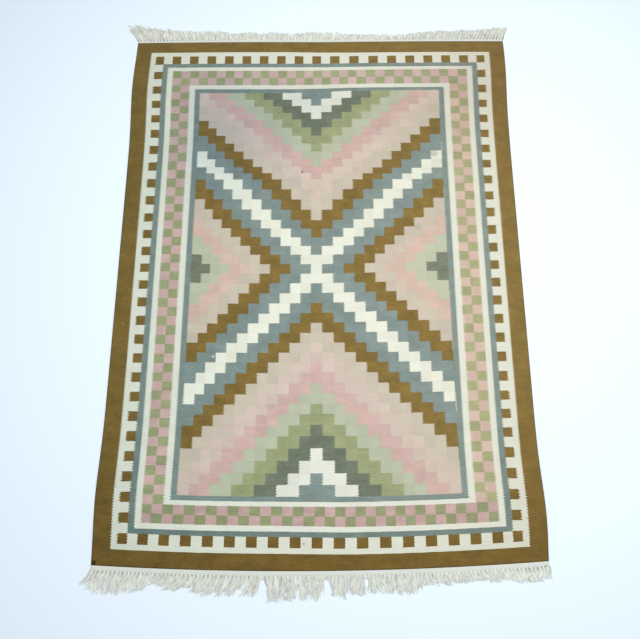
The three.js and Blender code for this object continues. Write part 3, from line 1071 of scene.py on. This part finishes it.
def random_number(tree, index, seed):
    """A random number from -1 to 1 for each index."""
    return wire(tree, "FunctionNodeRandomValue", {"data_type": "FLOAT"}, 1,
                min=-1.0, max=1.0, id=index, seed=seed)


def add_yarn_points(tree, roots, yarns, seed):
    """One point for each yarn of each lock, with what sets it apart stored on it."""
    position = wire(tree, "GeometryNodeInputPosition")
    index = wire(tree, "GeometryNodeInputIndex")
    points = store(tree, roots, "root", position, "FLOAT_VECTOR")
    for number, name in enumerate(LOCK_CHANCES):
        value = random_number(tree, index, seed + LOCK_SEED_STEP + number)
        points = store(tree, points, name, value)
    copies = add_node(tree, "GeometryNodeDuplicateElements", {"domain": "POINT"},
                      geometry=points, amount=yarns)
    place = (Wire(tree, copies.outputs["Duplicate Index"]) + 0.5) / yarns * 2.0 - 1.0
    points = store(tree, Wire(tree, copies.outputs["Geometry"]), "place", place)
    for number, name in enumerate(YARN_CHANCES):
        value = random_number(tree, index, seed + number)
        points = store(tree, points, name, value)
    return points


def add_yarn_lines(tree, points):
    line = wire(tree, "GeometryNodeCurvePrimitiveLine")
    path = wire(tree, "GeometryNodeResampleCurve", curve=line, count=YARN_STEPS + 1)
    placed = wire(tree, "GeometryNodeInstanceOnPoints", points=points, instance=path)
    return wire(tree, "GeometryNodeRealizeInstances", geometry=placed)


def add_tangle(tree, share, root_x, side, out, chance_aside, tangle_depth):
    """How far tangled yarns are pushed aside and outwards. The corners are calmer."""
    spot = combined(tree, root_x + side, out, chance_aside * (TANGLE_LAYER * MM))
    flow = wire(tree, "ShaderNodeTexNoise", output="Color", vector=spot,
                scale=1 / (TANGLE_SIZE * MM), detail=1.0)
    flow = add_node(tree, "ShaderNodeSeparateXYZ", vector=flow)
    calm = (root_x.size() / (CALM_REACH * MM)).lesser(1.0) * CALM_SHARE
    tangle = share.power(0.8) * (1.0 - calm) * tangle_depth * 2.0
    aside = (Wire(tree, flow.outputs["X"]) - 0.5) * tangle
    outwards = (Wire(tree, flow.outputs["Y"]) - 0.5) * tangle * 0.6
    return aside, outwards


def add_knots(tree, roots, outwards, knot_width):
    half_length, half_height = KNOT_HALF_SIZES
    ball = wire(tree, "GeometryNodeMeshUVSphere", segments=10, rings=6, radius=1.0)
    size = combined(tree, knot_width * 0.5, half_length * MM, half_height * MM)
    shift = combined(tree, 0.0, outwards * (KNOT_OUT * MM), KNOT_UP * MM)
    points = wire(tree, "GeometryNodeSetPosition", geometry=roots, offset=shift)
    return wire(tree, "GeometryNodeInstanceOnPoints", points=points, instance=ball, scale=size)


def make_fringe_tree(material, seed):
    """Grows each root point into a knot and a lock of separate yarns that lie on the floor."""
    tree = bpy.data.node_groups.new("fringe", "GeometryNodeTree")
    tree.interface.new_socket("Geometry", in_out="INPUT", socket_type="NodeSocketGeometry")
    for name, kind, value in FRINGE_INPUTS:
        tree.interface.new_socket(name, in_out="INPUT", socket_type=kind).default_value = value
    tree.interface.new_socket("Geometry", in_out="OUTPUT", socket_type="NodeSocketGeometry")
    given = tree.nodes.new("NodeGroupInput").outputs
    roots = Wire(tree, given["Geometry"])
    inputs = [Wire(tree, given[name]) for name, _, _ in FRINGE_INPUTS]
    outwards, yarns, knot_width, spread, radius, tangle_depth = inputs
    curves = add_yarn_lines(tree, add_yarn_points(tree, roots, yarns, seed))

    # Each yarn leaves its knot straight, leans with its lock and spreads apart.
    share = wire(tree, "GeometryNodeSplineParameter")
    place, side_chance, height_chance, shortfall, lock_length, lock_lean, lock_bend = [
        named(tree, name) for name in ("place", "side_chance", "height_chance", "length_chance",
                                       "lock_length", "lock_lean", "lock_bend")
    ]
    length = LONGEST_YARN - shortfall * shortfall * YARN_SHORTFALL + lock_length * LOCK_LENGTHENING
    out = named(tree, "reach") * length * share
    full_reach = FULL_SLOPE_REACH * MM
    slope = named(tree, "slope") + lock_lean * LOCK_LEAN
    lean = slope * (out / full_reach).power(SLOPE_POWER) * full_reach
    under = height_chance.below(UNDER_CHANCE)
    apart = place * (knot_width * (under * 0.35 + 0.4) + spread * share.power(0.7) * 0.5)
    stray = side_chance * side_chance * side_chance * share * share * (YARN_STRAY * MM)
    wobble = (share * 8.0 + side_chance * 7.0).sine() * share * (YARN_WOBBLE * MM)
    bend = (share * (math.pi * 1.3) + lock_lean).sine() * share * lock_bend * (LOCK_BEND * MM)
    curl = (share * math.pi).sine() * named(tree, "curl")
    root = named(tree, "root", "FLOAT_VECTOR")
    root_x = wire(tree, "ShaderNodeSeparateXYZ", output="X", vector=root)
    side_flow, out_flow = add_tangle(tree, share, root_x, apart * 0.5 + lean, out, side_chance,
                                     tangle_depth)
    low = radius * (under * 0.55 + 0.75)
    pile = (height_chance * 0.5 + 0.5) * (1.1 - share) * (1.0 - under) * (PILE_HEIGHT * MM)
    side = lean + apart + stray + wobble + bend + curl + side_flow
    offset = combined(tree, side, (out + out_flow) * outwards, low + pile)
    where = vector_math(tree, "ADD", root, offset)
    bent = wire(tree, "GeometryNodeSetPosition", geometry=curves, position=where)
    bent = store(tree, bent, "out_share", share)
    bent = store(tree, bent, "under", under)
    bent = store(tree, bent, "edge", place.size())
    # The painted shade of the slits goes on to the yarns.
    bent = store(tree, bent, "lock_slit_shade", named(tree, "slit_shade"))

    # A flat tube round each yarn. Those underneath are wider, and all get thinner outwards.
    upright = wire(tree, "GeometryNodeSetCurveNormal", {"mode": "Z_UP"}, curve=bent)
    thin = (1.0 - share.power(2.0) * YARN_THINNING) * (under * 0.9 + 1.0)
    circle = wire(tree, "GeometryNodeCurvePrimitiveCircle", resolution=4, radius=radius)
    profile = wire(tree, "GeometryNodeTransform", geometry=circle, scale=YARN_FLATNESS)
    tubes = wire(tree, "GeometryNodeCurveToMesh", curve=upright, profile_curve=profile, scale=thin,
                 fill_caps=True)

    joined = tree.nodes.new("GeometryNodeJoinGeometry")
    feed(tree, joined.inputs[0], tubes)
    feed(tree, joined.inputs[0], add_knots(tree, roots, outwards, knot_width))
    real = wire(tree, "GeometryNodeRealizeInstances", geometry=Wire(tree, joined.outputs[0]))
    smooth = wire(tree, "GeometryNodeSetShadeSmooth", geometry=real)
    dressed = wire(tree, "GeometryNodeSetMaterial", geometry=smooth, material=material)
    add_node(tree, "NodeGroupOutput", geometry=dressed)
    return tree


def set_input(modifier, tree, name, value):
    for item in tree.interface.items_tree:
        if item.item_type == "SOCKET" and item.in_out == "INPUT" and item.name == name:
            modifier[item.identifier] = value


def grow(name, base, tree, settings):
    """Runs a node tree on a base object and keeps the result as a plain mesh."""
    modifier = base.modifiers.new("grow", "NODES")
    modifier.node_group = tree
    for label, value in settings.items():
        set_input(modifier, tree, label, value)
    bpy.context.view_layer.update()
    evaluated = base.evaluated_get(bpy.context.evaluated_depsgraph_get())
    mesh = bpy.data.meshes.new_from_object(evaluated)
    mesh.name = name
    bpy.data.objects.remove(base)
    piece = bpy.data.objects.new(name, mesh)
    bpy.context.scene.collection.objects.link(piece)
    return piece


# The stage


def make_floor():
    mesh = bpy.data.meshes.new("floor")
    corners = [(x * FLOOR_REACH, y * FLOOR_REACH, 0) for x, y in ((-1, -1), (1, -1), (1, 1), (-1, 1))]
    mesh.from_pydata(corners, [], [(0, 1, 2, 3)])
    material, _, shader = new_material("pale_floor", roughness=0.9, sheen=0.0)
    shader.inputs["Base Color"].default_value = FLOOR_COLOUR
    piece = finish_mesh("floor", mesh, material)
    piece.location.z = -FLOOR_BELOW * MM
    return piece


def make_light():
    world = bpy.data.worlds.new("studio")
    bpy.context.scene.world = world
    world.use_nodes = True
    background = world.node_tree.nodes["Background"]
    background.inputs["Color"].default_value = (1.0, 1.0, 1.0, 1)
    background.inputs["Strength"].default_value = WORLD_LIGHT
    data = bpy.data.lights.new("window", "AREA")
    data.shape = "SQUARE"
    data.size = LAMP_SIZE
    data.energy = LAMP_POWER
    lamp = bpy.data.objects.new("window", data)
    lamp.location = LAMP_PLACE
    bpy.context.scene.collection.objects.link(lamp)


def make_camera():
    data = bpy.data.cameras.new("camera")
    data.sensor_width = 36
    data.lens = FOCAL_PIXELS * data.sensor_width / IMAGE_WIDTH
    data.shift_x = -MIDDLE_SHIFT[0] / IMAGE_WIDTH
    data.shift_y = MIDDLE_SHIFT[1] / IMAGE_WIDTH
    data.clip_end = 100
    camera = bpy.data.objects.new("camera", data)
    camera.location = CAMERA_PLACE
    pan, tilt, roll = [math.radians(a) for a in (CAMERA_PAN, CAMERA_TILT, CAMERA_ROLL)]
    turn = Matrix.Rotation(pan, 3, "Z") @ Matrix.Rotation(tilt, 3, "X") @ Matrix.Rotation(roll, 3, "Z")
    camera.rotation_euler = turn.to_euler()
    bpy.context.scene.collection.objects.link(camera)
    bpy.context.scene.camera = camera


def make_end(end, far, depth, fringe, cream, yarn, tangle, seed):
    """The heading and the locks of one end. The fringe is its four tables."""
    heading = make_heading("heading_" + end, far, depth, cream)
    roots = make_roots(far, depth, *fringe)
    settings = {"Outwards": 1.0 if far else -1.0, "Tangle depth": tangle * MM}
    locks = grow("locks_" + end, roots, make_fringe_tree(yarn, seed), settings)
    return heading, locks


def build():
    make_camera()
    make_light()
    floor = make_floor()

    rug = make_rug(make_weave_material())
    cream = make_heading_material()
    yarn = make_yarn_material()
    far_fringe = (FAR_FRINGE, FAR_PARTINGS, FAR_CURL, FAR_SLIT_SHADE)
    near_fringe = (NEAR_FRINGE, NEAR_PARTINGS, NEAR_CURL, NEAR_SLIT_SHADE)
    ends = {
        "far": make_end("far", True, FAR_HEADING_DEPTH, far_fringe, cream, yarn, FAR_TANGLE, FAR_SEED),
        "near": make_end("near", False, NEAR_HEADING_DEPTH, near_fringe, cream, yarn, NEAR_TANGLE,
                         NEAR_SEED),
    }

    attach(rug, "root")
    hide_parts("rug_weave")
    for end, pieces in ends.items():
        for piece in pieces:
            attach(piece, "root")
            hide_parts("fringe_" + end)
    bpy.context.scene.view_settings.view_transform = "Standard"


build()
